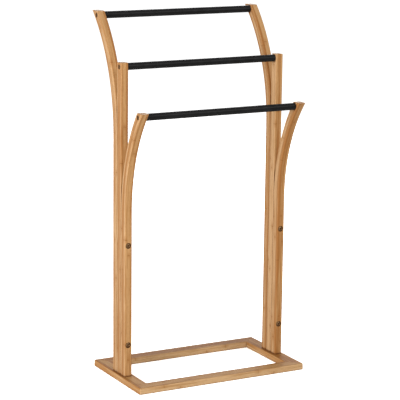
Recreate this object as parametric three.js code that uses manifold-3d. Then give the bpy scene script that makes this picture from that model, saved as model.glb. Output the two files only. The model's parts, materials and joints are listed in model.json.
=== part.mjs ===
// Free-standing towel rack: a mitred bamboo floor frame, two stacks of three bamboo posts
// bolted together, and three black steel bars at three heights.
// Millimetres. +X is to the right, +Y to the rear, +Z up. The origin is on the floor, in the
// middle of the rack's overall width and depth.

import * as THREE from 'three';
import { mergeVertices } from 'three/addons/utils/BufferGeometryUtils.js';
import Module from 'manifold-3d';

const wasm = await Module();
wasm.setup();

// ---------------------------------------------------------------- driving dimensions

// Floor frame: four rails, mitred at the corners
const baseWidth = 420;
const baseDepth = 240;
const railWidth = 32;
const railThickness = 15;
const railEdgeRadius = 2;
const baseCornerRadius = 3;
const mitreGap = 0.3;

// Loose tongue across each mitre
const tongueAlong = 18;
const tongueAcross = 16;
const tongueThickness = 4;

// Posts: three to a stack, one behind the other
const postWidth = 18;
const postDepth = 20.5;
const postEdgeRadius = 2.2;
const postInset = 6;
const bendRadius = 365;
const rearRow = { name: 'rear', place: 1, height: 820, bendRise: 260 };
const middleRow = { name: 'middle', place: 0, height: 719, bendRise: 0 };
const frontRow = { name: 'front', place: -1, height: 621, bendRise: 231 };
const rows = [rearRow, middleRow, frontRow];

// Bars: steel tube, let into shallow sockets in the posts
const barDiameter = 16;
const barWall = 1.2;
const barDrop = 9.5;
const socketDepth = 4;
const barInsertLength = 16;

// Fasteners
const barScrew = { shank: 5, length: 24, head: 9, headHeight: 3.2, dome: 0.9, key: 3 };
const stackBolt = { shank: 6, length: 50, head: 11, headHeight: 3.8, dome: 1.3, key: 4.5 };
const footScrew = { shank: 5, length: 45, head: 9.5, headHeight: 3.4, rim: 0.8, key: 4 };
const barScrewRecess = { diameter: 10.4, depth: 4 };
const stackBoltRecess = { diameter: 13, depth: 4.6 };
const footScrewRecess = { diameter: 10.6, depth: 4.2 };
const keyDepth = 2;
const tipChamfer = 0.6;
const screwPoint = 6;
const upperBoltHeight = 316;
const lowerBoltHeight = 88;
const insertNut = { diameter: 10, length: 13, ribs: 3, ribDepth: 0.6 };
const nutPocketExtra = 4;
const pilotExtra = 3;

// Fits
const seatGap = 0.2;
const slideGap = 0.3;
const boreGap = 0.5;

// Smoothness
const roundSteps = 16;
const barSteps = 32;
const bendSteps = 8;
const edgeSteps = 2;
const crownSteps = 3;
const cutMargin = 5;

// ---------------------------------------------------------------- materials

const bamboo = new THREE.MeshStandardMaterial({ color: 0xc8965e, roughness: 0.55, metalness: 0 });
const bambooBase = new THREE.MeshStandardMaterial({ color: 0xb98f60, roughness: 0.6, metalness: 0 });
const blackSteel = new THREE.MeshStandardMaterial({ color: 0x161616, roughness: 0.38, metalness: 0.3 });
const bronzedSteel = new THREE.MeshStandardMaterial({ color: 0x8a6c4a, roughness: 0.35, metalness: 1 });

// ---------------------------------------------------------------- helpers

const X = new THREE.Vector3(1, 0, 0);
const Y = new THREE.Vector3(0, 1, 0);
const Z = new THREE.Vector3(0, 0, 1);

const group = new THREE.Group();

function addPiece(name, geometry, material) {
  const mesh = new THREE.Mesh(geometry, material.clone());
  mesh.name = name;
  group.add(mesh);
}

function toSolid(geometry) {
  const bare = geometry.clone();
  bare.deleteAttribute('normal');
  bare.deleteAttribute('uv');
  const merged = mergeVertices(bare);
  return new wasm.Manifold(new wasm.Mesh({
    numProp: 3,
    vertProperties: new Float32Array(merged.attributes.position.array),
    triVerts: new Uint32Array(merged.index.array),
  }));
}

function toGeometry(solid) {
  const mesh = solid.getMesh();
  const geometry = new THREE.BufferGeometry();
  geometry.setAttribute('position', new THREE.BufferAttribute(mesh.vertProperties, 3));
  geometry.setIndex(new THREE.BufferAttribute(mesh.triVerts, 1));
  geometry.computeVertexNormals();
  return geometry;
}

// Extrudes an outline drawn in (Y, Z) along X, centred on x = 0.
function extrudeAlongX(shape, length, bevel = 0) {
  const geometry = new THREE.ExtrudeGeometry(shape, {
    depth: length - 2 * bevel,
    curveSegments: bendSteps,
    bevelEnabled: bevel > 0,
    bevelSize: bevel,
    bevelThickness: bevel,
    bevelOffset: -bevel,
    bevelSegments: edgeSteps,
  });
  geometry.translate(0, 0, bevel - length / 2);
  return geometry.applyMatrix4(new THREE.Matrix4().makeBasis(Y, Z, X));
}

// Turns a profile of [radius, distance along the axis] points round an axis from a point.
function turned(profile, from, direction, steps = roundSteps) {
  const points = profile.map(([radius, along]) => new THREE.Vector2(radius, along));
  const geometry = new THREE.LatheGeometry(points, steps);
  const turn = new THREE.Quaternion().setFromUnitVectors(Y, direction);
  return geometry.applyQuaternion(turn).translate(from.x, from.y, from.z);
}

function rod(diameter, length, from, direction, steps = roundSteps) {
  const radius = diameter / 2;
  return turned([[0, 0], [radius, 0], [radius, length], [0, length]], from, direction, steps);
}

function tube(outer, inner, length, from, direction, steps = roundSteps) {
  const profile = [
    [inner / 2, 0], [outer / 2, 0], [outer / 2, length], [inner / 2, length], [inner / 2, 0],
  ];
  return turned(profile, from, direction, steps);
}

// Cuts a round hole that starts outside the surface and goes straight in to a depth.
function drill(solid, diameter, surface, inward, depth, steps = roundSteps) {
  const start = surface.clone().addScaledVector(inward, -cutMargin);
  return solid.subtract(toSolid(rod(diameter, depth + cutMargin, start, inward, steps)));
}

// ---------------------------------------------------------------- places

const sides = [
  { name: 'left', sign: -1 },
  { name: 'right', sign: 1 },
];
const ends = [
  { name: 'rear', sign: 1 },
  { name: 'front', sign: -1 },
];
const stackBoltHeights = [
  { name: 'upper', z: upperBoltHeight },
  { name: 'lower', z: lowerBoltHeight },
];

const postPitch = postDepth + seatGap;
const postFoot = railThickness + seatGap;
const postCentreX = baseWidth / 2 - postInset - postWidth / 2;
const postInnerX = postCentreX - postWidth / 2;
const barLength = 2 * (postInnerX + socketDepth - slideGap);

// Which way a post's bend goes: the front posts to the front, the rear posts to the rear.
function leanOf(row) {
  return row.place < 0 ? -1 : 1;
}

// How far a face has swung away from upright, at a rise above the start of its bend.
function swing(radius, rise) {
  return rise > 0 ? radius - Math.sqrt(radius * radius - rise * rise) : 0;
}

// The two faces of a post at a height: the inside and the outside of its bend.
function postFaces(row, z) {
  const rise = z - (row.height - row.bendRise);
  const middle = row.place * postPitch;
  const lean = leanOf(row);
  return {
    inside: middle + lean * (postDepth / 2 + swing(bendRadius, rise)),
    outside: middle + lean * (-postDepth / 2 + swing(bendRadius + postDepth, rise)),
  };
}

// The stacks stand in the middle of the floor frame, and half the difference between the rear
// and the front reach centres the whole rack on the origin.
const rearReach = Math.max(baseDepth / 2, postFaces(rearRow, rearRow.height).inside);
const frontReach = Math.max(baseDepth / 2, -postFaces(frontRow, frontRow.height).inside);
const stackY = (frontReach - rearReach) / 2;

function barAxis(row) {
  const z = row.height - barDrop;
  const faces = postFaces(row, z);
  return { y: stackY + (faces.inside + faces.outside) / 2, z };
}

// ---------------------------------------------------------------- floor frame

function roundedSection(width, height, radius) {
  const w = width / 2 - radius;
  const h = height / 2 - radius;
  const shape = new THREE.Shape();
  shape.absarc(w, h, radius, 0, Math.PI / 2);
  shape.absarc(-w, h, radius, Math.PI / 2, Math.PI);
  shape.absarc(-w, -h, radius, Math.PI, 1.5 * Math.PI);
  shape.absarc(w, -h, radius, 1.5 * Math.PI, 2 * Math.PI);
  return shape;
}

// A rail along X, with its outer edge towards -Y and both ends mitred at 45 degrees.
function mitredRail(length) {
  const section = roundedSection(railWidth, railThickness, railEdgeRadius);
  const settings = { depth: length, curveSegments: edgeSteps, bevelEnabled: false };
  const bar = new THREE.ExtrudeGeometry(section, settings);
  bar.translate(0, 0, -length / 2);
  bar.applyMatrix4(new THREE.Matrix4().makeBasis(Y, Z, X));

  const outer = length / 2 - mitreGap / Math.SQRT2;
  const slope = railWidth + 2 * cutMargin;
  const plan = new THREE.Shape([
    new THREE.Vector2(-outer - cutMargin, -railWidth / 2 - cutMargin),
    new THREE.Vector2(outer + cutMargin, -railWidth / 2 - cutMargin),
    new THREE.Vector2(outer + cutMargin - slope, railWidth / 2 + cutMargin),
    new THREE.Vector2(-outer - cutMargin + slope, railWidth / 2 + cutMargin),
  ]);
  const thickness = railThickness + 2 * cutMargin;
  const keep = new THREE.ExtrudeGeometry(plan, { depth: thickness, bevelEnabled: false });
  keep.translate(0, 0, -thickness / 2);
  return toSolid(bar).intersect(toSolid(keep));
}

// The outline of the whole floor frame, which eases its four outer corners.
function baseFootprint() {
  const outline = roundedSection(baseWidth, baseDepth, baseCornerRadius);
  const settings = { depth: railThickness, curveSegments: edgeSteps, bevelEnabled: false };
  const block = new THREE.ExtrudeGeometry(outline, settings);
  return toSolid(block.translate(0, stackY, 0));
}

function tongueBlock(side, end, gap) {
  const block = new THREE.BoxGeometry(
    tongueAlong + 2 * gap, tongueAcross + 2 * gap, tongueThickness + 2 * gap,
  );
  block.rotateZ(side.sign * end.sign * Math.PI / 4);
  return block.translate(
    side.sign * (baseWidth - railWidth) / 2,
    stackY + end.sign * (baseDepth - railWidth) / 2,
    railThickness / 2,
  );
}

function cutTongueSlots(rail) {
  let cut = rail;
  for (const side of sides) {
    for (const end of ends) {
      cut = cut.subtract(toSolid(tongueBlock(side, end, slideGap)));
    }
  }
  return cut;
}

function footScrewPlace(side, row) {
  return new THREE.Vector3(side.sign * postCentreX, stackY + row.place * postPitch, 0);
}

function addFloorFrame() {
  const footprint = baseFootprint();
  const finish = (rail) => toGeometry(cutTongueSlots(rail.intersect(footprint)));
  for (const end of ends) {
    const turn = end.sign > 0 ? 180 : 0;
    const rail = mitredRail(baseWidth)
      .rotate([0, 0, turn])
      .translate([0, stackY + end.sign * (baseDepth - railWidth) / 2, railThickness / 2]);
    addPiece(`base_${end.name}_rail`, finish(rail), bambooBase);
  }
  for (const side of sides) {
    let rail = mitredRail(baseDepth)
      .rotate([0, 0, side.sign * 90])
      .translate([side.sign * (baseWidth - railWidth) / 2, stackY, railThickness / 2]);
    for (const row of rows) {
      const place = footScrewPlace(side, row);
      const bore = footScrew.shank + 2 * boreGap;
      rail = drill(rail, bore, place, Z, railThickness + cutMargin);
      rail = drill(rail, footScrewRecess.diameter, place, Z, footScrewRecess.depth);
    }
    addPiece(`base_${side.name}_rail`, finish(rail), bambooBase);
  }
  for (const side of sides) {
    for (const end of ends) {
      const name = `corner_tongue_${end.name}_${side.name}`;
      addPiece(name, tongueBlock(side, end, 0), bambooBase);
    }
  }
}

// ---------------------------------------------------------------- posts

// The side view of a post in (Y, Z): straight, then one arc, then a level saw cut on top.
function postOutline(row) {
  const foot = postFoot - cutMargin;
  const bendStart = row.height - row.bendRise;
  const middle = stackY + row.place * postPitch;
  const lean = leanOf(row);
  const inner = middle + lean * postDepth / 2;
  const outer = middle - lean * postDepth / 2;
  const centre = inner + lean * bendRadius;
  const shape = new THREE.Shape();
  shape.moveTo(outer, foot);
  if (row.bendRise === 0) {
    shape.lineTo(outer, row.height);
    shape.lineTo(inner, row.height);
  } else {
    const start = lean > 0 ? Math.PI : 0;
    const outerSweep = Math.asin(row.bendRise / (bendRadius + postDepth));
    const innerSweep = Math.asin(row.bendRise / bendRadius);
    const clockwise = lean > 0;
    shape.lineTo(outer, bendStart);
    shape.absarc(
      centre, bendStart, bendRadius + postDepth, start, start - lean * outerSweep, clockwise,
    );
    shape.absarc(
      centre, bendStart, bendRadius, start - lean * innerSweep, start, !clockwise,
    );
  }
  shape.lineTo(inner, foot);
  shape.closePath();
  return shape;
}

function postBlank(side, row) {
  const geometry = extrudeAlongX(postOutline(row), postWidth, postEdgeRadius);
  geometry.translate(side.sign * postCentreX, 0, 0);
  const floor = new THREE.BoxGeometry(2 * postWidth, 4 * postDepth, 2 * postFoot);
  floor.translate(side.sign * postCentreX, stackY + row.place * postPitch, 0);
  return toSolid(geometry).subtract(toSolid(floor));
}

function boreForBar(post, side, row) {
  const axis = barAxis(row);
  const outward = X.clone().multiplyScalar(side.sign);
  const inward = X.clone().multiplyScalar(-side.sign);
  const innerFace = new THREE.Vector3(side.sign * postInnerX, axis.y, axis.z);
  const outerFace = innerFace.clone().addScaledVector(outward, postWidth);
  let cut = drill(post, barDiameter + 2 * slideGap, innerFace, outward, socketDepth, barSteps);
  cut = drill(cut, barScrewRecess.diameter, outerFace, inward, barScrewRecess.depth);
  return drill(cut, barScrew.shank + 2 * boreGap, outerFace, inward, postWidth + cutMargin);
}

function stackBoltSurface(side, z) {
  return new THREE.Vector3(side.sign * postCentreX, stackY - postPitch - postDepth / 2, z);
}

function nutStart(side, z) {
  return new THREE.Vector3(side.sign * postCentreX, stackY + postPitch - postDepth / 2, z);
}

function boreForStackBolts(post, side, row) {
  let cut = post;
  for (const { z } of stackBoltHeights) {
    const front = stackBoltSurface(side, z);
    if (row === rearRow) {
      const nut = nutStart(side, z);
      const pocket = insertNut.length + nutPocketExtra;
      cut = drill(cut, insertNut.diameter + 2 * slideGap, nut, Y, pocket);
    } else {
      const bore = stackBolt.shank + 2 * boreGap;
      cut = drill(cut, bore, front, Y, 2 * postPitch);
    }
    if (row === frontRow) {
      cut = drill(cut, stackBoltRecess.diameter, front, Y, stackBoltRecess.depth, barSteps);
    }
  }
  return cut;
}

function boreForFootScrew(post, side, row) {
  const foot = footScrewPlace(side, row);
  const depth = footScrewRecess.depth + footScrew.length + pilotExtra;
  return drill(post, footScrew.shank + 2 * boreGap, foot, Z, depth);
}

function addPosts() {
  for (const side of sides) {
    for (const row of rows) {
      let post = postBlank(side, row);
      post = boreForBar(post, side, row);
      post = boreForStackBolts(post, side, row);
      post = boreForFootScrew(post, side, row);
      addPiece(`${side.name}_${row.name}_post`, toGeometry(post), bamboo);
    }
  }
}

// ---------------------------------------------------------------- bars

function addBars() {
  const bore = barDiameter - 2 * barWall;
  for (const row of rows) {
    const axis = barAxis(row);
    const start = new THREE.Vector3(-barLength / 2, axis.y, axis.z);
    const bar = tube(barDiameter, bore, barLength, start, X, barSteps);
    addPiece(`${row.name}_bar`, bar, blackSteel);
    for (const side of sides) {
      const inward = X.clone().multiplyScalar(-side.sign);
      const from = new THREE.Vector3(side.sign * barLength / 2, axis.y, axis.z);
      const insert = tube(
        bore - 2 * seatGap, barScrew.shank + 2 * slideGap, barInsertLength, from, inward,
      );
      addPiece(`${row.name}_bar_${side.name}_insert`, insert, bronzedSteel);
    }
  }
}

// ---------------------------------------------------------------- fasteners

// A six-sided hole for the key, cut down into a head from its crown.
function hexKey(width, crown, direction) {
  const across = width / Math.cos(Math.PI / 6);
  const start = crown.clone().addScaledVector(direction, -cutMargin);
  return rod(across, cutMargin + keyDepth, start, direction, 6);
}

// A screw with a cylindrical head, a low dome on it, and a hexagon socket.
// The seat is the point under its head, and the direction points down its shank.
function domedScrew(size, seat, direction) {
  const headRadius = size.head / 2;
  const shankRadius = size.shank / 2;
  const profile = [];
  for (let step = 0; step <= crownSteps; step += 1) {
    const angle = (step / crownSteps) * Math.PI / 2;
    const along = size.dome * (1 - Math.cos(angle)) - size.headHeight;
    profile.push([headRadius * Math.sin(angle), along]);
  }
  profile.push(
    [headRadius, 0],
    [shankRadius, 0],
    [shankRadius, size.length - tipChamfer],
    [shankRadius - tipChamfer, size.length],
    [0, size.length],
  );
  const blank = turned(profile, seat, direction);
  const crown = seat.clone().addScaledVector(direction, -size.headHeight);
  return toGeometry(toSolid(blank).subtract(toSolid(hexKey(size.key, crown, direction))));
}

// A wood screw with a countersunk head: a cone under a flat top, and a point.
function woodScrew(size, crown, direction) {
  const headRadius = size.head / 2;
  const shankRadius = size.shank / 2;
  const profile = [
    [0, 0],
    [headRadius, 0],
    [headRadius, size.rim],
    [shankRadius, size.headHeight],
    [shankRadius, size.length - screwPoint],
    [0, size.length],
  ];
  const blank = turned(profile, crown, direction);
  return toGeometry(toSolid(blank).subtract(toSolid(hexKey(size.key, crown, direction))));
}

// A threaded sleeve with ribs that bite into the post.
function ribbedNut(start) {
  const crest = insertNut.diameter / 2;
  const root = crest - insertNut.ribDepth;
  const bore = stackBolt.shank / 2 + slideGap;
  const pitch = insertNut.length / insertNut.ribs;
  const profile = [[bore, 0]];
  for (let rib = 0; rib < insertNut.ribs; rib += 1) {
    profile.push([root, rib * pitch], [crest, (rib + 0.5) * pitch]);
  }
  profile.push([root, insertNut.length], [bore, insertNut.length], [bore, 0]);
  return turned(profile, start, Y);
}

function addBarScrews() {
  for (const row of rows) {
    const axis = barAxis(row);
    for (const side of sides) {
      const inward = X.clone().multiplyScalar(-side.sign);
      const outerX = postInnerX + postWidth - barScrewRecess.depth + seatGap;
      const seat = new THREE.Vector3(side.sign * outerX, axis.y, axis.z);
      const screw = domedScrew(barScrew, seat, inward);
      addPiece(`${row.name}_bar_${side.name}_screw`, screw, bronzedSteel);
    }
  }
}

function addStackBolts() {
  for (const side of sides) {
    for (const { name, z } of stackBoltHeights) {
      const seat = stackBoltSurface(side, z);
      seat.y += stackBoltRecess.depth - seatGap;
      addPiece(`${side.name}_${name}_stack_bolt`, domedScrew(stackBolt, seat, Y), bronzedSteel);
      const start = nutStart(side, z);
      start.y += seatGap;
      addPiece(`${side.name}_${name}_insert_nut`, ribbedNut(start), bronzedSteel);
    }
  }
}

function addFootScrews() {
  for (const side of sides) {
    for (const row of rows) {
      const crown = footScrewPlace(side, row);
      crown.z = footScrewRecess.depth - footScrew.headHeight - seatGap;
      addPiece(`${side.name}_${row.name}_foot_screw`, woodScrew(footScrew, crown, Z), bronzedSteel);
    }
  }
}

addFloorFrame();
addPosts();
addBars();
addBarScrews();
addStackBolts();
addFootScrews();

export default group;
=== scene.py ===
# Free-standing bamboo towel rack: the finished surfaces, materials, light and camera.
# Metres, in the frame of the CAD model: +X to the right, +Y to the rear, +Z up.
import json
import math
from collections import namedtuple
from itertools import product

import bmesh
import bpy
from mathutils import Matrix, Vector


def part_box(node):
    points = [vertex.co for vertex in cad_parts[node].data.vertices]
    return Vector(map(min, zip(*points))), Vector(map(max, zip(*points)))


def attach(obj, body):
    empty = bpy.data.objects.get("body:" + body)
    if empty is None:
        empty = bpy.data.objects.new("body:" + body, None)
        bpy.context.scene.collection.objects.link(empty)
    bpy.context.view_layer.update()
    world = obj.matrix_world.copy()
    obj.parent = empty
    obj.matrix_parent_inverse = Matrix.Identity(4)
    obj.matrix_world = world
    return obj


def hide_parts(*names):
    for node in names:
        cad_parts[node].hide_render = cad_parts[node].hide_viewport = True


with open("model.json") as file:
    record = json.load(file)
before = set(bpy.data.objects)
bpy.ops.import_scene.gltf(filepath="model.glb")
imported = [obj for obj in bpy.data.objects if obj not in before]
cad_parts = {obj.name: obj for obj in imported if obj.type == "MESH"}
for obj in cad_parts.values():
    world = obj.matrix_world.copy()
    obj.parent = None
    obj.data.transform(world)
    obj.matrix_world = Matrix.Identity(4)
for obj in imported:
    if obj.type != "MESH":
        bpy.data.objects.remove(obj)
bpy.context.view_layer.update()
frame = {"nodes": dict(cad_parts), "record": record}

# ---------------------------------------------------------------- names

SIDES = {"left": -1, "right": 1}
ENDS = {"rear": 1, "front": -1}
LEAN = {"rear": 1, "middle": 0, "front": -1}
BOLT_LEVELS = ("upper", "lower")

# ---------------------------------------------------------------- driving sizes

MM = 0.001
POST_EDGE_RADIUS = 2.2 * MM
POST_TOP_EASE = 1.1 * MM
POST_FOOT_EASE = 0.2 * MM
BEND_RADIUS = 365 * MM

RAIL_EDGE_RADIUS = 2 * MM
BASE_CORNER_RADIUS = 3 * MM
MITRE_GAP = 0.2 * MM
TONGUE_SLOT = Vector((18.6, 16.6, 4.6)) * MM

BAR_WALL = 1.2 * MM
BAR_END_EASE = 0.4 * MM
SOCKET_DEPTH = 4 * MM
SOCKET_GAP = 0.15 * MM

Hole = namedtuple("Hole", "radius depth lip")
BAR_SCREW_RECESS = Hole(5.2 * MM, 4 * MM, 0.35 * MM)
BAR_SCREW_BORE = Hole(3 * MM, 30 * MM, 0)
STACK_BOLT_RECESS = Hole(6.5 * MM, 4.6 * MM, 0.35 * MM)
STACK_BOLT_BORE = Hole(3.5 * MM, 45 * MM, 0)
NUT_POCKET = Hole(5.3 * MM, 17 * MM, 0)
FOOT_SCREW_RECESS = Hole(5.3 * MM, 4.2 * MM, 0.35 * MM)
FOOT_SCREW_BORE = Hole(3 * MM, 52.2 * MM, 0)

# Head and thread of each kind of screw. The crown rises towards the middle of a domed head.
Screw = namedtuple("Screw", "head head_height dome shank key pitch thread_depth point")
BAR_SCREW = Screw(4.5 * MM, 3.2 * MM, 0.9 * MM, 2.5 * MM, 1.5 * MM, 0.8 * MM, 0.4 * MM, 0.6 * MM)
STACK_BOLT = Screw(5.5 * MM, 3.8 * MM, 1.3 * MM, 3 * MM, 2.25 * MM, 1 * MM, 0.5 * MM, 0.6 * MM)
FOOT_SCREW = Screw(4.75 * MM, 3.4 * MM, 0, 2.5 * MM, 2 * MM, 2.2 * MM, 0.7 * MM, 6 * MM)
FOOT_SCREW_RIM = 0.8 * MM
KEY_DEPTH = 2 * MM
KEY_LIP = 0.25 * MM
HEAD_EASE = 0.3 * MM

# The pattern of a stick: its section, a little over the stick's own so that no face lies on a
# glue line; its number of strips across and through; the way its flat grain faces; the painted
# shade on its flat-grain faces and the lighter tone on its edge-grain faces, set by the way each
# face points; how strongly painted shade darkens its creases
Stick = namedtuple("Stick", "section strips flat_face flat_tone edge_tone creases")
POST_STICK = Stick(
    section=Vector((18.6, 21.1)) * MM,
    strips=(3, 3),
    flat_face=Vector((0, 1, 0)),
    # Painted shade on the flat-grain fronts and backs, a near-plain tone on the edge-grain sides
    flat_tone=(0.93, 0.87, 0.73, 1),
    edge_tone=(0.96, 0.99, 1.02, 1),
    # How dark the painted shade in the creases is
    creases=1.0,
)
RAIL_STICK = Stick(
    section=Vector((32.6, 15.6)) * MM,
    strips=(4, 2),
    flat_face=Vector((0, 0, 1)),
    # Painted shade on the flat-grain top and bottom, painted light on the edge-grain faces
    flat_tone=(0.8, 0.7, 0.5, 1),
    edge_tone=(1.16, 1.2, 1.2, 1),
    # How dark the painted shade in the creases is
    creases=0.35,
)
NODE_SPACING = 240 * MM
STICK_STAGGER = 290 * MM

# Smoothness
CORNER_STEPS = 6
BEND_RINGS = 40
BAR_SIDES = 64
SCREW_SIDES = 32
HOLE_SIDES = 48
THREAD_RINGS = 5
DOME_RINGS = 6
SMOOTH_ANGLE = math.radians(32)
CUT_MARGIN = 3 * MM
SAME_POINT = 0.001 * MM

# How far from a neighbour the painted crease shade starts to darken a surface
CREASE_SHADE_REACH = 6 * MM

# ---------------------------------------------------------------- mesh helpers


def middle_of(node):
    low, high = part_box(node)
    return (low + high) / 2


def ends_of(node, direction):
    """The middle of a node's first and last end along one of the axes."""
    low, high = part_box(node)
    half = direction * abs((high - low).dot(direction)) / 2
    middle = (low + high) / 2
    return middle - half, middle + half


def aim(origin, direction):
    """A place whose +Z points in a direction."""
    return Matrix.Translation(origin) @ direction.to_track_quat("Z", "Y").to_matrix().to_4x4()


def circle(radius, along, sides):
    turns = (math.tau * step / sides for step in range(sides))
    return [Vector((radius * math.cos(turn), radius * math.sin(turn), along)) for turn in turns]


def rounded_rectangle(width, height, radius):
    """The outline of a rectangle with round corners, anticlockwise, centred on zero."""
    points = []
    for quarter, (right, up) in enumerate([(1, 1), (-1, 1), (-1, -1), (1, -1)]):
        centre = Vector((right * (width / 2 - radius), up * (height / 2 - radius)))
        for step in range(CORNER_STEPS + 1):
            turn = (quarter + step / CORNER_STEPS) * math.pi / 2
            points.append(centre + radius * Vector((math.cos(turn), math.sin(turn))))
    return points


def loft(rings, place=Matrix.Identity(4), closed=False):
    """A skin through rings of points. It has a flat cap at both ends unless it closes on itself."""
    shape = bmesh.new()
    rows = [[shape.verts.new(place @ point) for point in ring] for ring in rings]
    following = rows[1:] + rows[:1] if closed else rows[1:]
    for one, two in zip(rows, following):
        for first in range(len(one)):
            second = (first + 1) % len(one)
            shape.faces.new((one[first], one[second], two[second], two[first]))
    if not closed:
        shape.faces.new(rows[0])
        shape.faces.new(rows[-1])
    bmesh.ops.remove_doubles(shape, verts=shape.verts, dist=SAME_POINT)
    bmesh.ops.dissolve_degenerate(shape, edges=shape.edges, dist=SAME_POINT)
    bmesh.ops.recalc_face_normals(shape, faces=shape.faces)
    return shape


def turned(profile, place, sides, closed=False):
    """Turns a profile of (radius, distance along) pairs round the +Z of a place."""
    return loft([circle(radius, along, sides) for radius, along in profile], place, closed)


def add_object(name, shape):
    mesh = bpy.data.meshes.new(name)
    shape.to_mesh(mesh)
    shape.free()
    made = bpy.data.objects.new(name, mesh)
    bpy.context.scene.collection.objects.link(made)
    return made


def cut(blank, cutters):
    """Takes the cutters away from a blank, one after the other, and removes them."""
    for cutter in cutters:
        knife = blank.modifiers.new("cut", "BOOLEAN")
        knife.operation = "DIFFERENCE"
        knife.solver = "EXACT"
        knife.object = cutter
    seen = blank.evaluated_get(bpy.context.evaluated_depsgraph_get())
    solid = blank.data
    blank.data = bpy.data.meshes.new_from_object(seen)
    blank.modifiers.clear()
    bpy.data.meshes.remove(solid)
    for cutter in cutters:
        mesh = cutter.data
        bpy.data.objects.remove(cutter)
        bpy.data.meshes.remove(mesh)


def hole_cutter(hole, place):
    """A round hole from the surface at a place down along its +Z, with a broken edge."""
    profile = [(hole.radius + hole.lip, -CUT_MARGIN)]
    if hole.lip:
        profile += [(hole.radius + hole.lip, 0), (hole.radius, hole.lip)]
    profile.append((hole.radius, hole.depth))
    return add_object("cutter", turned(profile, place, HOLE_SIDES))


def block_cutter(size, place):
    shape = bmesh.new()
    bmesh.ops.create_cube(shape, size=1, matrix=place @ Matrix.Diagonal((*size, 1)))
    return add_object("cutter", shape)


def shade(piece):
    """Smooth over curves, sharp over edges, with the flat faces kept flat."""
    shape = bmesh.new()
    shape.from_mesh(piece.data)
    for face in shape.faces:
        face.smooth = True
    for edge in shape.edges:
        edge.smooth = edge.calc_face_angle(0) < SMOOTH_ANGLE
    shape.to_mesh(piece.data)
    shape.free()
    weighted = piece.modifiers.new("flat faces", "WEIGHTED_NORMAL")
    weighted.keep_sharp = True


def store_grain(piece, rest):
    """Stores where each point lay in the straight stick: across, through, and along the fibres."""
    grain = piece.data.attributes.new("grain", "FLOAT_VECTOR", "POINT")
    for vertex, value in zip(piece.data.vertices, grain.data):
        value.vector = rest(vertex.co)


def stick_shift(number, stick):
    """Moves a stick's pattern by whole sticks, so that each is made from strips of its own."""
    across = (3 * number + 0.5) * stick.section.x
    through = (number + 0.5) * stick.section.y
    return Vector((across, through, STICK_STAGGER * number))


def finish_piece(piece, material, node, rest):
    """Gives a piece its grain and material, and lets it stand for its CAD node."""
    store_grain(piece, rest)
    shade(piece)
    piece.data.materials.clear()
    piece.data.materials.append(material)
    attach(piece, "root")
    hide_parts(node)


# ---------------------------------------------------------------- material helpers


class Nodes:
    """A short way to write the nodes of a material."""

    def __init__(self, name):
        self.material = bpy.data.materials.new(name)
        self.material.use_nodes = True
        self.tree = self.material.node_tree
        self.shader = self.tree.nodes["Principled BSDF"]

    def set(self, node, inputs):
        for name, value in inputs.items():
            if isinstance(value, bpy.types.NodeSocket):
                self.tree.links.new(value, node.inputs[name])
            else:
                node.inputs[name].default_value = value

    def add(self, kind, inputs, output=0, **settings):
        node = self.tree.nodes.new(kind)
        for name, value in settings.items():
            setattr(node, name, value)
        self.set(node, inputs)
        return node.outputs[output]

    def math(self, operation, *values):
        return self.add("ShaderNodeMath", dict(enumerate(values)), operation=operation)

    def vector(self, operation, first, second):
        return self.add("ShaderNodeVectorMath", {0: first, 1: second}, operation=operation)

    def noise(self, vector, detail=2.0):
        return self.add("ShaderNodeTexNoise", {"Vector": vector, "Scale": 1.0, "Detail": detail})

    def remap(self, value, low, high, to_low=0.0, to_high=1.0):
        inputs = {"Value": value, 1: low, 2: high, 3: to_low, 4: to_high}
        return self.add("ShaderNodeMapRange", inputs, interpolation_type="SMOOTHSTEP")

    def channels(self, kind, name, value):
        """The separate outputs of a colour or a vector."""
        node = self.tree.nodes.new(kind)
        self.set(node, {name: value})
        return node.outputs

    def scaled(self, vector, across, through, along):
        return self.vector("MULTIPLY", vector, (across, through, along))

    def tint(self, amount, colour, other, blend="MIX"):
        inputs = {0: amount, 6: colour, 7: other}
        return self.add("ShaderNodeMix", inputs, output=2, data_type="RGBA", blend_type=blend)

    def bump(self, height, distance):
        inputs = {"Height": height, "Distance": distance, "Strength": 1.0}
        return self.add("ShaderNodeBump", inputs)

    def paint_crease_shade(self, colour, dark, reach, most):
        """Painted shade: darkens the colour where surfaces meet closer than the reach, by ambient
        occlusion.
        """
        open_share = self.add("ShaderNodeAmbientOcclusion", {"Distance": reach}, output="AO", samples=8)
        return self.tint(self.remap(open_share, 0.96, 0.5, 0.0, most), colour, dark)


def slot_colour(slot):
    """The base colour that the record gives a material slot."""
    for material in frame["record"]["materials"]:
        if material["slot"] == slot:
            return Vector(material["base_color"])
    raise ValueError(f"no material slot {slot}")


def shaded(colour, factors):
    """A colour with each channel multiplied by a factor, as an opaque RGBA value."""
    return (*(channel * factor for channel, factor in zip(colour, factors)), 1.0)


def stick_coordinates(nodes):
    """The stored position in the straight stick, in metres."""
    return nodes.add("ShaderNodeAttribute", {}, output="Vector", attribute_name="grain")


def object_coordinates(nodes):
    return nodes.add("ShaderNodeTexCoord", {}, output="Object")


# ---------------------------------------------------------------- materials

# Factors on a slot's base colour
PALE_STRIP = (1.06, 1.17, 1.42)
PLAIN_STRIP = (0.85, 0.84, 0.88)
WARM_STRIP = (0.72, 0.59, 0.46)
DARK_FIBRE = (0.5, 0.38, 0.28)
NODE_BAND = (0.5, 0.38, 0.26)
GLUE_LINE = (0.5, 0.4, 0.3)
# The colour of the painted shade in creases and between parts
CREASE_SHADE = (0.2, 0.11, 0.06)

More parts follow.
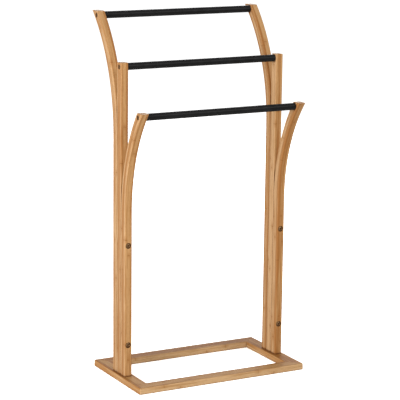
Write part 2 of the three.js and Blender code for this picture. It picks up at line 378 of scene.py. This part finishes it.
# How wide the features of bamboo are, and how long they are along its fibres
DRIFT = (9 * MM, 110 * MM)
STREAK = (2.2 * MM, 90 * MM)
FIBRE = (0.55 * MM, 28 * MM)
VEIN = (0.4 * MM, 9 * MM)
NODE_BEND = (6 * MM, 40 * MM)

# What the draw of the stick, the draw of the strip, the drift and the streaks each add to the
# tone, and the tones at which the bamboo is fully warm, plain and pale
STICK_SHARE, STRIP_SHARE, DRIFT_SHARE, STREAK_SHARE = 0.3, 0.6, 0.7, 0.9
WARM_TONE, PLAIN_TONE, PALE_TONE = 1.02, 1.22, 1.4

# How strongly each mark covers the colour below it
FIBRE_SHARE = 0.34
VEIN_SHARE = 0.42
HALO_SHARE = 0.45
BAND_SHARE = 0.55
GLUE_SHARE = 0.4

HALO_REACH = 14 * MM
HALO_CORE = 1 * MM
BAND_REACH = 1.5 * MM
BAND_CORE = 0.4 * MM
BAND_WANDER = 0.02
GLUE_REACH = 0.22 * MM
GLUE_CORE = 0.05 * MM


class Strips:
    """The strips that a stick is glued up from: where they lie, and what is random in each."""

    def __init__(self, nodes, stick, place):
        self.nodes = nodes
        self.place = place
        self.width = stick.section.x / stick.strips[0]
        self.height = stick.section.y / stick.strips[1]
        self.turns = nodes.scaled(place, 1 / self.width, 1 / self.height, 0)
        cell = nodes.vector("FLOOR", self.turns, (0, 0, 0))
        draw = nodes.add("ShaderNodeTexWhiteNoise", {"Vector": cell}, output="Color")
        self.draws = nodes.channels("ShaderNodeSeparateColor", "Color", draw)
        self.apart = nodes.scaled(draw, 40, 40, 40)

    def noise(self, feature, detail=2.0):
        """Noise with features of a size, which differs from strip to strip."""
        across, along = feature
        stretched = self.nodes.scaled(self.place, 1 / across, 1 / across, 1 / along)
        return self.nodes.noise(self.nodes.vector("ADD", stretched, self.apart), detail)


def strip_colour(strips, stick, base):
    """Warm, plain or pale: each stick and each strip has a tone, which drifts and streaks."""
    nodes = strips.nodes
    per_stick = nodes.scaled(strips.place, 1 / stick.section.x, 1 / stick.section.y, 0)
    stick_cell = nodes.vector("FLOOR", per_stick, (0, 0, 0))
    stick_draw = nodes.add("ShaderNodeTexWhiteNoise", {"Vector": stick_cell})
    shares = (
        (stick_draw, STICK_SHARE),
        (strips.draws["Red"], STRIP_SHARE),
        (strips.noise(DRIFT), DRIFT_SHARE),
        (strips.noise(STREAK, detail=3), STREAK_SHARE),
    )
    tone = 0.0
    for source, share in shares:
        tone = nodes.math("MULTIPLY_ADD", source, share, tone)
    light = nodes.remap(tone, PLAIN_TONE, PALE_TONE)
    warm = nodes.remap(tone, PLAIN_TONE, WARM_TONE)
    colour = nodes.tint(light, shaded(base, PLAIN_STRIP), shaded(base, PALE_STRIP))
    return nodes.tint(warm, colour, shaded(base, WARM_STRIP))


def culm_nodes(strips, colour, base):
    """A thin dark band across a strip, with a soft shadow on both sides of it."""
    nodes = strips.nodes
    along = nodes.channels("ShaderNodeSeparateXYZ", "Vector", strips.place)["Z"]
    wander = nodes.math("MULTIPLY", strips.noise(NODE_BEND), BAND_WANDER)
    start = nodes.math("ADD", nodes.math("MULTIPLY", strips.draws["Green"], 5), wander)
    turns = nodes.math("ADD", nodes.math("MULTIPLY", along, 1 / NODE_SPACING), start)
    off_centre = nodes.math("ABSOLUTE", nodes.math("SUBTRACT", nodes.math("FRACT", turns), 0.5))
    from_node = nodes.math("MULTIPLY", off_centre, NODE_SPACING)
    halo = nodes.remap(from_node, HALO_REACH, HALO_CORE, 0.0, HALO_SHARE)
    band = nodes.remap(from_node, BAND_REACH, BAND_CORE, 0.0, BAND_SHARE)
    colour = nodes.tint(halo, colour, shaded(base, WARM_STRIP))
    return nodes.tint(band, colour, shaded(base, NODE_BAND))


def glue_lines(strips, colour, base):
    """A thin dark line where two strips meet."""
    nodes = strips.nodes
    in_strip = nodes.vector("FRACTION", strips.turns, (0, 0, 0))
    off_centre = nodes.vector("SUBTRACT", in_strip, (0.5, 0.5, 0.5))
    off_centre = nodes.vector("ABSOLUTE", off_centre, (0, 0, 0))
    size = nodes.scaled(off_centre, strips.width, strips.height, 0)
    from_middle = nodes.channels("ShaderNodeSeparateXYZ", "Vector", size)
    lines = [
        nodes.remap(from_middle[axis], whole / 2 - GLUE_REACH, whole / 2 - GLUE_CORE)
        for axis, whole in (("X", strips.width), ("Y", strips.height))
    ]
    glue = nodes.math("MULTIPLY", nodes.math("MAXIMUM", *lines), GLUE_SHARE)
    return nodes.tint(glue, colour, shaded(base, GLUE_LINE))


def grain_facing_shade(nodes, stick, colour):
    """Painted shade and light by the way a face points: darker on flat-grain faces, lighter on
    edge-grain ones.
    """
    normal = nodes.add("ShaderNodeTexCoord", {}, output="Normal")
    inputs = {0: normal, 1: stick.flat_face}
    facing = nodes.add("ShaderNodeVectorMath", inputs, output="Value", operation="DOT_PRODUCT")
    flatness = nodes.remap(nodes.math("ABSOLUTE", facing), 0.5, 0.9)
    grain = nodes.tint(flatness, stick.edge_tone, stick.flat_tone)
    return nodes.tint(1.0, colour, grain, "MULTIPLY")


def bamboo(name, slot, stick, coordinates):
    """Split bamboo strips, glued side by side under satin lacquer."""
    nodes = Nodes(name)
    base = slot_colour(slot)
    strips = Strips(nodes, stick, coordinates(nodes))
    fibres = strips.noise(FIBRE, detail=3)
    veins = strips.noise(VEIN, detail=0)

    dark_fibre = shaded(base, DARK_FIBRE)
    colour = strip_colour(strips, stick, base)
    colour = nodes.tint(nodes.remap(fibres, 0.5, 0.75, 0.0, FIBRE_SHARE), colour, dark_fibre)
    colour = nodes.tint(nodes.remap(veins, 0.64, 0.74, 0.0, VEIN_SHARE), colour, dark_fibre)
    colour = culm_nodes(strips, colour, base)
    colour = glue_lines(strips, colour, base)
    # Painted shade and light by the way each face points
    colour = grain_facing_shade(nodes, stick, colour)
    # Painted shade in the seams between sticks, at the post feet and round the holes
    colour = nodes.paint_crease_shade(colour, shaded(base, CREASE_SHADE), CREASE_SHADE_REACH, stick.creases)

    pores = nodes.math("MULTIPLY", nodes.remap(veins, 0.6, 0.74), 0.6)
    nodes.set(nodes.shader, {
        "Base Color": colour,
        "Roughness": nodes.remap(fibres, 0.3, 0.7, 0.46, 0.6),
        "Specular IOR Level": 0.15,
        "Normal": nodes.bump(nodes.math("SUBTRACT", fibres, pores), 0.05 * MM),
    })
    return nodes.material


def powder_coat(name, slot):
    """Black powder coat on steel tube: satin, with a fine orange-peel surface."""
    nodes = Nodes(name)
    base = slot_colour(slot)
    place = object_coordinates(nodes)
    peel = nodes.noise(nodes.scaled(place, 700, 700, 700))
    cloud = nodes.noise(nodes.scaled(place, 60, 60, 60))
    speck = nodes.noise(nodes.scaled(place, 2600, 2600, 2600))
    thin = shaded(base, (1.1, 1.1, 1.15))
    thick = shaded(base, (0.7, 0.7, 0.7))
    relief = nodes.math("ADD", peel, nodes.math("MULTIPLY", speck, 0.25))
    nodes.set(nodes.shader, {
        "Base Color": nodes.tint(nodes.remap(cloud, 0.35, 0.65), thick, thin),
        "Roughness": nodes.remap(peel, 0.3, 0.7, 0.38, 0.48),
        "Specular IOR Level": 0.15,
        "Normal": nodes.bump(relief, 0.05 * MM),
    })
    return nodes.material


def plated_steel(name, slot, coordinates):
    """Bronze-plated screw steel: turned rings, a mottled plating and painted shade in its recesses."""
    nodes = Nodes(name)
    base = slot_colour(slot)
    place = coordinates(nodes)
    flat = nodes.scaled(place, 1, 1, 0)
    radius = nodes.add("ShaderNodeVectorMath", {0: flat}, output="Value", operation="LENGTH")
    rings_at = nodes.add("ShaderNodeCombineXYZ", {"X": nodes.math("MULTIPLY", radius, 6000)})
    rings = nodes.noise(rings_at, detail=2)
    mottle = nodes.noise(nodes.scaled(place, 500, 500, 500), detail=3)
    tarnish = nodes.remap(mottle, 0.42, 0.68)
    colour = nodes.tint(tarnish, shaded(base, (1.25, 1.0, 0.75)), shaded(base, (0.7, 0.5, 0.33)))
    # Painted shade in the key socket and where the head sits in its recess
    colour = nodes.paint_crease_shade(colour, shaded(base, (0.06, 0.05, 0.05)), 2 * MM, 1.0)
    height = nodes.math("ADD", nodes.math("MULTIPLY", rings, 0.6), mottle)
    nodes.set(nodes.shader, {
        "Base Color": colour,
        "Metallic": 1.0,
        "Roughness": nodes.remap(mottle, 0.3, 0.7, 0.28, 0.45),
        "Normal": nodes.bump(height, 0.02 * MM),
    })
    return nodes.material


POST_BAMBOO = bamboo("post bamboo", "bamboo_posts", POST_STICK, stick_coordinates)
RAIL_BAMBOO = bamboo("rail bamboo", "bamboo_base", RAIL_STICK, stick_coordinates)
HIDDEN_BAMBOO = bamboo("tongue bamboo", "bamboo_base", RAIL_STICK, object_coordinates)
BLACK_COAT = powder_coat("black powder coat", "black_steel")
SCREW_STEEL = plated_steel("plated screw steel", "fastener_steel", stick_coordinates)
INSERT_STEEL = plated_steel("plated insert steel", "fastener_steel", object_coordinates)

# ---------------------------------------------------------------- floor frame


def rail_blank(length, width, thickness):
    """A rail along X with its outer edge towards -Y, mitred ends and eased outer corners."""
    half = length / 2 - MITRE_GAP / math.sqrt(2)
    outline = rounded_rectangle(width, thickness, RAIL_EDGE_RADIUS)
    turns = [math.pi / 4 * step / CORNER_STEPS for step in range(CORNER_STEPS + 1)]
    rings = []
    for sign, sweep in ((-1, reversed(turns)), (1, turns)):
        for turn in sweep:
            ring = []
            for across, height in outline:
                from_edge = across + width / 2
                radius = max(BASE_CORNER_RADIUS - from_edge, 0)
                centre = max(BASE_CORNER_RADIUS, from_edge)
                end = half - centre + radius * math.sin(turn)
                inward = centre - radius * math.cos(turn)
                ring.append(Vector((sign * end, inward - width / 2, height)))
            rings.append(ring)
    return loft(rings)


def tongue_slots():
    slots = []
    for side, right in SIDES.items():
        for end, back in ENDS.items():
            turn = Matrix.Rotation(right * back * math.pi / 4, 4, "Z")
            place = Matrix.Translation(middle_of(f"corner_tongue_{end}_{side}")) @ turn
            slots.append(block_cutter(TONGUE_SLOT, place))
    return slots


def foot_screw_holes(side):
    holes = []
    for row in LEAN:
        foot = middle_of(f"{side}_{row}_foot_screw")
        foot.z = 0
        place = aim(foot, Vector((0, 0, 1)))
        holes.append(hole_cutter(FOOT_SCREW_RECESS, place))
        holes.append(hole_cutter(FOOT_SCREW_BORE, place))
    return holes


def add_rail(name, length, quarter_turns, extra_cutters, stick_number):
    """One rail of the floor frame, turned so that its outer edge faces out."""
    node = f"base_{name}_rail"
    low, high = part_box(node)
    size = high - low
    width = min(size.x, size.y)
    turn = Matrix.Rotation(quarter_turns * math.pi / 2, 4, "Z")
    place = Matrix.Translation((low + high) / 2) @ turn
    shape = rail_blank(length, width, size.z)
    shape.transform(place)
    piece = add_object(f"{node}_wood", shape)
    cut(piece, tongue_slots() + extra_cutters)
    back = place.inverted()
    shift = stick_shift(stick_number, RAIL_STICK)

    def rest(point):
        local = back @ point
        return Vector((local.y, local.z, local.x)) + shift

    finish_piece(piece, RAIL_BAMBOO, node, rest)


def add_floor_frame():
    """Four rails. Their own boxes are cut short by the eased corners, so the lengths come from
    the outer faces of the rails that they meet."""
    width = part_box("base_right_rail")[1].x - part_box("base_left_rail")[0].x
    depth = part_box("base_rear_rail")[1].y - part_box("base_front_rail")[0].y
    add_rail("front", width, 0, [], 6)
    add_rail("rear", width, 2, [], 7)
    add_rail("left", depth, -1, foot_screw_holes("left"), 8)
    add_rail("right", depth, 1, foot_screw_holes("right"), 9)


# ---------------------------------------------------------------- posts


class Post:
    """Where a post stands and how it bends, read from the box of its CAD node."""

    def __init__(self, side, row):
        self.side = side
        self.row = row
        self.node = f"{side}_{row}_post"
        low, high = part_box(self.node)
        middle_low, middle_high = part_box(f"{side}_middle_post")
        self.lean = LEAN[row]
        self.x = (low.x + high.x) / 2
        self.width = high.x - low.x
        self.depth = middle_high.y - middle_low.y
        self.foot = low.z
        self.top = high.z
        reach = high.y - low.y - self.depth
        self.bend_rise = math.sqrt(reach * (2 * BEND_RADIUS - reach))
        self.bend_start = self.top - self.bend_rise
        half = self.depth / 2
        self.y = high.y - half if self.lean < 0 else low.y + half
        self.pivot = self.y + self.lean * (half + BEND_RADIUS)

    def bent(self, point, turn):
        """A point of the upright section, carried round the bend."""
        radius = BEND_RADIUS + self.depth / 2 - self.lean * point.y
        y = self.pivot - self.lean * radius * math.cos(turn)
        z = self.bend_start + radius * math.sin(turn)
        return Vector((self.x + point.x, y, z))

    def straightened(self, point):
        """Where a point of the finished post lay before the post was bent."""
        x = point.x - self.x
        if self.lean == 0 or point.z <= self.bend_start:
            return Vector((x, point.y - self.y, point.z))
        rise = point.z - self.bend_start
        out = self.lean * (self.pivot - point.y)
        radius = math.hypot(out, rise)
        centre_line = BEND_RADIUS + self.depth / 2
        across = self.lean * (centre_line - radius)
        return Vector((x, across, self.bend_start + centre_line * math.atan2(rise, out)))


def post_blank(post):
    """The bare post: an upright section swept up and round the bend, then sawn off level."""
    outline = rounded_rectangle(post.width, post.depth, POST_EDGE_RADIUS)
    straight_top = post.bend_start if post.lean else post.top
    rings = [
        [Vector((post.x + point.x, post.y + point.y, height)) for point in outline]
        for height in (post.foot, straight_top)
    ]
    if post.lean:
        sweep = math.asin(post.bend_rise / BEND_RADIUS) + CUT_MARGIN / BEND_RADIUS
        for step in range(1, BEND_RINGS + 1):
            rings.append([post.bent(point, sweep * step / BEND_RINGS) for point in outline])
    shape = loft(rings)
    if post.lean:
        everything = [*shape.verts, *shape.edges, *shape.faces]
        saw_height = Vector((0, 0, post.top))
        bmesh.ops.bisect_plane(
            shape, geom=everything, plane_co=saw_height, plane_no=(0, 0, 1), clear_outer=True,
        )
        bmesh.ops.holes_fill(shape, edges=[edge for edge in shape.edges if edge.is_boundary])
        bmesh.ops.recalc_face_normals(shape, faces=shape.faces)
    ease_edges(shape, post.top, POST_TOP_EASE)
    ease_edges(shape, post.foot, POST_FOOT_EASE)
    return shape


def ease_edges(shape, height, ease):
    """Rounds over the edges round the flat end at a height."""
    level = [edge for edge in shape.edges if all(abs(v.co.z - height) < SAME_POINT for v in edge.verts)]
    bmesh.ops.bevel(
        shape, geom=level, offset=ease, segments=3, profile=0.5, affect="EDGES", clamp_overlap=True,
    )


def bar_holes(post):
    """The socket for a bar's end, and the recess and bore for the screw that holds it."""
    outward = Vector((SIDES[post.side], 0, 0))
    bar_low, bar_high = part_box(f"{post.row}_bar")
    axis = (bar_low + bar_high) / 2
    inner = Vector((post.x, axis.y, axis.z)) - outward * post.width / 2
    outer = inner + outward * post.width
    socket = Hole((bar_high.z - bar_low.z) / 2 + SOCKET_GAP, SOCKET_DEPTH, 0)
    return [
        hole_cutter(socket, aim(inner, outward)),
        hole_cutter(BAR_SCREW_RECESS, aim(outer, -outward)),
        hole_cutter(BAR_SCREW_BORE, aim(outer, -outward)),
    ]


def stack_bolt_holes(post):
    """Front post: recess and bore. Middle post: bore. Rear post: pocket for the insert nut."""
    inward = Vector((0, 1, 0))
    holes = []
    for level in BOLT_LEVELS:
        surface = middle_of(f"{post.side}_{level}_stack_bolt")
        surface.y = post.y - post.depth / 2
        place = aim(surface, inward)
        if post.row == "rear":
            holes.append(hole_cutter(NUT_POCKET, place))
        else:
            holes.append(hole_cutter(STACK_BOLT_BORE, place))
        if post.row == "front":
            holes.append(hole_cutter(STACK_BOLT_RECESS, place))
    return holes


def add_post(side, row, stick_number):
    post = Post(side, row)
    piece = add_object(f"{post.node}_wood", post_blank(post))
    foot = middle_of(f"{side}_{row}_foot_screw")
    foot.z = 0
    foot_bore = hole_cutter(FOOT_SCREW_BORE, aim(foot, Vector((0, 0, 1))))
    cut(piece, bar_holes(post) + stack_bolt_holes(post) + [foot_bore])
    shift = stick_shift(stick_number, POST_STICK)

    def rest(point):
        return post.straightened(point) + shift

    finish_piece(piece, POST_BAMBOO, post.node, rest)


def add_posts():
    for stick_number, (side, row) in enumerate(product(SIDES, LEAN)):
        add_post(side, row, stick_number)


# ---------------------------------------------------------------- bars


def add_bar(row):
    """One steel tube with its ends let into the posts."""
    node = f"{row}_bar"
    start, end = ends_of(node, Vector((1, 0, 0)))
    low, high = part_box(node)
    outer = (high.z - low.z) / 2
    inner = outer - BAR_WALL
    length = end.x - start.x
    profile = [
        (inner, 0), (outer - BAR_END_EASE, 0), (outer, BAR_END_EASE),
        (outer, length - BAR_END_EASE), (outer - BAR_END_EASE, length), (inner, length),
    ]
    place = aim(start, Vector((1, 0, 0)))
    piece = add_object(f"{node}_tube", turned(profile, place, BAR_SIDES, closed=True))
    finish_piece(piece, BLACK_COAT, node, place.inverted().__matmul__)


def add_bars():
    for row in LEAN:
        add_bar(row)


# ---------------------------------------------------------------- screws


def thread_rings(screw, start, end):
    """Rings of a helical V thread, which fades out at both ends."""
    rings = []
    count = round((end - start) / screw.pitch * THREAD_RINGS)
    for step in range(count + 1):
        along = start + (end - start) * step / count
        fade = min(1, (along - start) / screw.pitch, (end - along) / screw.pitch)
        ring = []
        for side in range(SCREW_SIDES):
            phase = (along / screw.pitch - side / SCREW_SIDES) % 1
            groove = abs(2 * phase - 1) * screw.thread_depth * max(fade, 0)
            turn = math.tau * side / SCREW_SIDES
            radius = screw.shank - groove
            ring.append(Vector((radius * math.cos(turn), radius * math.sin(turn), along)))
        rings.append(ring)
    return rings


def key_cutter(screw, crown, place):
    """The hexagon hole for the key, with a small countersink at its mouth."""
    across = screw.key / math.cos(math.pi / 6)
    profile = [
        (across + KEY_LIP, crown - CUT_MARGIN), (across + KEY_LIP, crown),
        (across, crown + KEY_LIP), (across, crown + KEY_DEPTH),
    ]
    return add_object("cutter", turned(profile, place, 6))


def domed_head(screw):
    """The profile of a low domed head, from its crown to the seat at zero."""
    side_top = screw.dome - screw.head_height
    profile = []
    for step in range(1, DOME_RINGS + 1):
        turn = step / DOME_RINGS * math.pi / 2
        radius = (screw.head - HEAD_EASE) * math.sin(turn)
        profile.append((radius, screw.dome * (1 - math.cos(turn)) - screw.head_height))
    profile.append((screw.head, side_top + HEAD_EASE))
    profile.append((screw.head, 0))
    return profile


def countersunk_head(screw):
    """The profile of a flat head with a cone below it, from its crown to the shank at zero."""
    return [
        (screw.head - HEAD_EASE, -screw.head_height),
        (screw.head, HEAD_EASE - screw.head_height),
        (screw.head, FOOT_SCREW_RIM - screw.head_height),
    ]


def add_screw(node, screw, direction, head):
    """One screw from its head's crown to its tip, in the place of its CAD node."""
    crown, tip = ends_of(node, direction)
    length = (tip - crown).length
    place = aim(crown + direction * screw.head_height, direction)
    shank_end = length - screw.head_height
    rings = [circle(radius, along, SCREW_SIDES) for radius, along in head(screw)]
    rings.append(circle(screw.shank, 0, SCREW_SIDES))
    rings.extend(thread_rings(screw, screw.pitch, shank_end - screw.point))
    tip_radius = screw.shank - min(screw.point, screw.shank * 0.92)
    rings.append(circle(tip_radius, shank_end, SCREW_SIDES))
    piece = add_object(f"{node}_turned", loft(rings, place))
    cut(piece, [key_cutter(screw, -screw.head_height, place)])
    finish_piece(piece, SCREW_STEEL, node, place.inverted().__matmul__)


def add_screws():
    for side, right in SIDES.items():
        for row in LEAN:
            inward = Vector((-right, 0, 0))
            add_screw(f"{row}_bar_{side}_screw", BAR_SCREW, inward, domed_head)
            add_screw(f"{side}_{row}_foot_screw", FOOT_SCREW, Vector((0, 0, 1)), countersunk_head)
        for level in BOLT_LEVELS:
            add_screw(f"{side}_{level}_stack_bolt", STACK_BOLT, Vector((0, 1, 0)), domed_head)


# ---------------------------------------------------------------- carried-over CAD pieces


def dress_hidden_pieces():
    """Materials for the pieces inside the rack, which keep their CAD meshes."""
    for name, piece in frame["nodes"].items():
        if name.startswith("corner_tongue"):
            piece.material_slots[0].material = HIDDEN_BAMBOO
        elif name.endswith(("_insert", "_insert_nut")):
            piece.material_slots[0].material = INSERT_STEEL


# ---------------------------------------------------------------- floor, light and camera

FLOOR_RADIUS = 30.0
FLOOR_SHOWN = 2.3
FLOOR_BOUNCE = 0.7
WORLD_SHOWN = 1.0
WORLD_LIGHT = 0.5

CAMERA_TARGET = Vector((-0.002, -0.0121, 0.3965))
CAMERA_DISTANCE = 3.853
CAMERA_AZIMUTH = math.radians(28.3)
CAMERA_ELEVATION = math.radians(12.03)
CAMERA_ROLL = math.radians(0.653)
CAMERA_LENS = 153.4


def by_path(tree, shown, lighting):
    """One value for what the lens sees directly, another for what lights and mirrors in the rack."""
    paths = tree.nodes.new("ShaderNodeLightPath")
    choose = tree.nodes.new("ShaderNodeMix")
    choose.inputs["A"].default_value = lighting
    choose.inputs["B"].default_value = shown
    tree.links.new(paths.outputs["Is Camera Ray"], choose.inputs["Factor"])
    return choose.outputs["Result"]


def add_floor():
    """A matt floor that shows white, as in a retouched studio shot, but bounces less light."""
    shape = bmesh.new()
    bmesh.ops.create_circle(shape, cap_ends=True, radius=FLOOR_RADIUS, segments=64)
    floor = add_object("floor", shape)
    material = bpy.data.materials.new("pale floor")
    material.use_nodes = True
    tree = material.node_tree
    tree.nodes.remove(tree.nodes["Principled BSDF"])
    matt = tree.nodes.new("ShaderNodeBsdfDiffuse")
    tree.links.new(by_path(tree, FLOOR_SHOWN, FLOOR_BOUNCE), matt.inputs["Color"])
    tree.links.new(matt.outputs["BSDF"], tree.nodes["Material Output"].inputs["Surface"])
    floor.data.materials.append(material)


def add_world():
    """Even light from all round, which shows as a white backdrop."""
    world = bpy.data.worlds.new("studio")
    world.use_nodes = True
    background = world.node_tree.nodes["Background"]
    background.inputs["Color"].default_value = (1, 1, 1, 1)
    strength = by_path(world.node_tree, WORLD_SHOWN, WORLD_LIGHT)
    world.node_tree.links.new(strength, background.inputs["Strength"])
    bpy.context.scene.world = world
    bpy.context.scene.view_settings.view_transform = "Standard"


def add_softbox(name, place, target, width, height, power):
    light = bpy.data.lights.new(name, "AREA")
    light.shape = "RECTANGLE"
    light.size = width
    light.size_y = height
    light.energy = power
    lamp = bpy.data.objects.new(name, light)
    lamp.location = place
    lamp.rotation_euler = (Vector(target) - Vector(place)).to_track_quat("-Z", "Y").to_euler()
    bpy.context.scene.collection.objects.link(lamp)


def add_lights():
    rack_middle = (0, 0, 0.4)
    add_softbox("key", (-2.6, -1.3, 1.0), rack_middle, 1.8, 1.8, 80)
    add_softbox("fill", (1.6, -2.8, 2.4), rack_middle, 1.6, 1.0, 30)
    add_softbox("back", (1.6, 2.6, 1.8), rack_middle, 1.6, 1.6, 24)


def add_camera():
    """Looks at the rack from its front left, a little from above."""
    sine, cosine = math.sin(CAMERA_AZIMUTH), math.cos(CAMERA_AZIMUTH)
    right = Vector((cosine, -sine, 0))
    forward = Vector((sine, cosine, 0)) * math.cos(CAMERA_ELEVATION)
    forward.z = -math.sin(CAMERA_ELEVATION)
    up = right.cross(forward)
    roll = Matrix.Rotation(CAMERA_ROLL, 4, "Z")
    axes = Matrix((right, up, -forward)).transposed().to_4x4()
    data = bpy.data.cameras.new("camera")
    data.lens = CAMERA_LENS
    camera = bpy.data.objects.new("camera", data)
    place = Matrix.Translation(CAMERA_TARGET - forward * CAMERA_DISTANCE)
    camera.matrix_world = place @ axes @ roll
    bpy.context.scene.collection.objects.link(camera)
    bpy.context.scene.camera = camera


# ---------------------------------------------------------------- the whole scene


add_camera()
add_floor_frame()
add_posts()
add_bars()
add_screws()
dress_hidden_pieces()
add_floor()
add_world()
add_lights()
